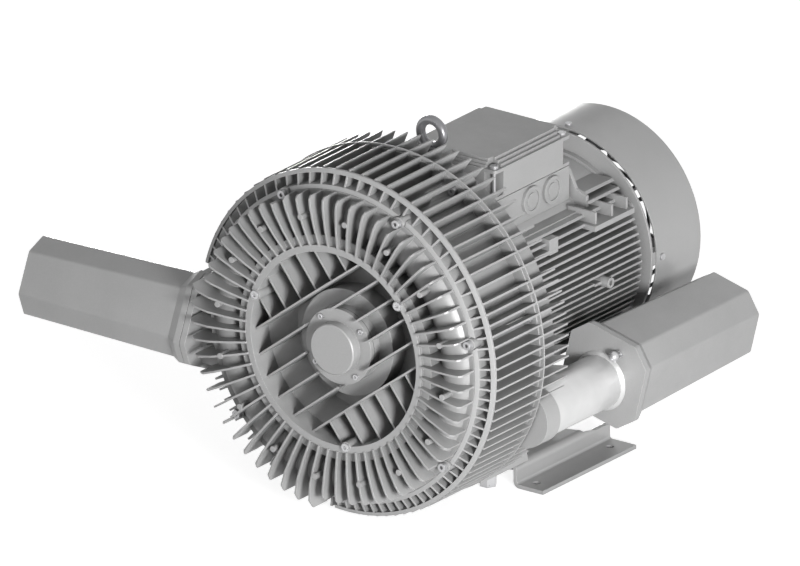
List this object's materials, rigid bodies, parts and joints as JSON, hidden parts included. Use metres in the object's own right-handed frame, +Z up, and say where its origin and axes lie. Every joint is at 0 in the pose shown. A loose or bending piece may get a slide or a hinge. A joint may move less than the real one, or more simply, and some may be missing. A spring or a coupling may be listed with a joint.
{
  "type": "two-stage blower",
  "caption": "Side-channel blower with finned ring casing, dished ribbed front cover, electric motor with fan cowl, and two eight-sided silencers on a hat-section foot.",
  "frame": {"origin": "middle of the four foot holes, on the plane the foot stands on", "axes": "+Z up, +Y along the shaft from the blower to the motor, +X to the right seen from the front cover"},
  "size_m": [0.8807, 0.693, 0.562],
  "materials": {
    "cast_aluminium": "cast, satin",
    "steel": "machined",
    "zinc_screw": "zinc plated",
    "polished_steel": "polished",
    "black_rubber": "matte",
    "foam": "open cell foam",
    "dark_plastic": "moulded",
    "copper": "enamelled",
    "cowl_paint": "satin",
    "foot_paint": "satin",
    "pipe_metal": "smooth",
    "plate_metal": "brushed"
  },
  "bodies": {
    "housing": {"ball_screw": "zinc_screw", "blanking_plugs": "cast_aluminium", "casing_bolts": "zinc_screw", "cover_bolts": "zinc_screw", "cowl_screws": "zinc_screw", "drive_bearing_outer_ring": "steel", "eye_bolt": "polished_steel", "fan_cowl": "cowl_paint", "foot_bolts": "zinc_screw", "foot_bracket": "foot_paint", "front_bearing_outer_ring": "steel", "front_cover": "cast_aluminium", "hub_cap": "cast_aluminium", "hub_cap_gasket": "black_rubber", "hub_cap_screws": "zinc_screw", "interstage_seal": "steel", "left_silencer": "cast_aluminium", "left_silencer_foam": "foam", "left_silencer_tube": "steel", "levelling_feet": "zinc_screw", "lid_gasket": "black_rubber", "lid_screws": "zinc_screw", "middle_casing": "cast_aluminium", "motor_bolts": "zinc_screw", "motor_frame": "cast_aluminium", "nameplate": "plate_metal", "outlet_pipe": "pipe_metal", "port_gasket": "black_rubber", "rear_bearing_outer_ring": "steel", "rear_casing": "cast_aluminium", "rear_end_shield": "cast_aluminium", "right_silencer": "cast_aluminium", "right_silencer_foam": "foam", "right_silencer_tube": "steel", "rim_screws": "zinc_screw", "shaft_seal": "black_rubber", "shield_screws": "zinc_screw", "stator_core": "steel", "stator_winding": "copper", "terminal_board": "dark_plastic", "terminal_box_base": "cast_aluminium", "terminal_box_lid": "cast_aluminium", "terminal_studs": "copper", "wave_spring": "steel"},
    "rotor": {"motor_shaft": "steel", "stage_one_impeller": "cast_aluminium", "stage_two_impeller": "cast_aluminium", "impeller_spacer": "steel", "impeller_keys": "steel", "front_sleeve": "steel", "rotor_core": "steel", "cooling_fan": "dark_plastic", "fan_retaining_ring": "zinc_screw", "front_bearing_inner_ring": "steel", "drive_bearing_inner_ring": "steel", "rear_bearing_inner_ring": "steel"},
    "front_ball_set": {"front_bearing_balls": "steel"},
    "drive_ball_set": {"drive_bearing_balls": "steel"},
    "rear_ball_set": {"rear_bearing_balls": "steel"}
  },
  "joints": [
    {"name": "rotor_spin", "type": "hinge", "parent": "housing", "child": "rotor", "pos_m": [0, 0, 0.275], "axis": [0, 1, 0], "continuous": true},
    {"name": "front_ball_orbit", "type": "hinge", "parent": "housing", "child": "front_ball_set", "pos_m": [0, 0, 0.275], "axis": [0, 1, 0], "continuous": true},
    {"name": "drive_ball_orbit", "type": "hinge", "parent": "housing", "child": "drive_ball_set", "pos_m": [0, 0, 0.275], "axis": [0, 1, 0], "continuous": true},
    {"name": "rear_ball_orbit", "type": "hinge", "parent": "housing", "child": "rear_ball_set", "pos_m": [0, 0, 0.275], "axis": [0, 1, 0], "continuous": true}
  ],
  "couplings": [
    {"joint": "front_ball_orbit", "follows": "rotor_spin", "ratio": 0.3846},
    {"joint": "drive_ball_orbit", "follows": "rotor_spin", "ratio": 0.3875},
    {"joint": "rear_ball_orbit", "follows": "rotor_spin", "ratio": 0.3846}
  ]
}
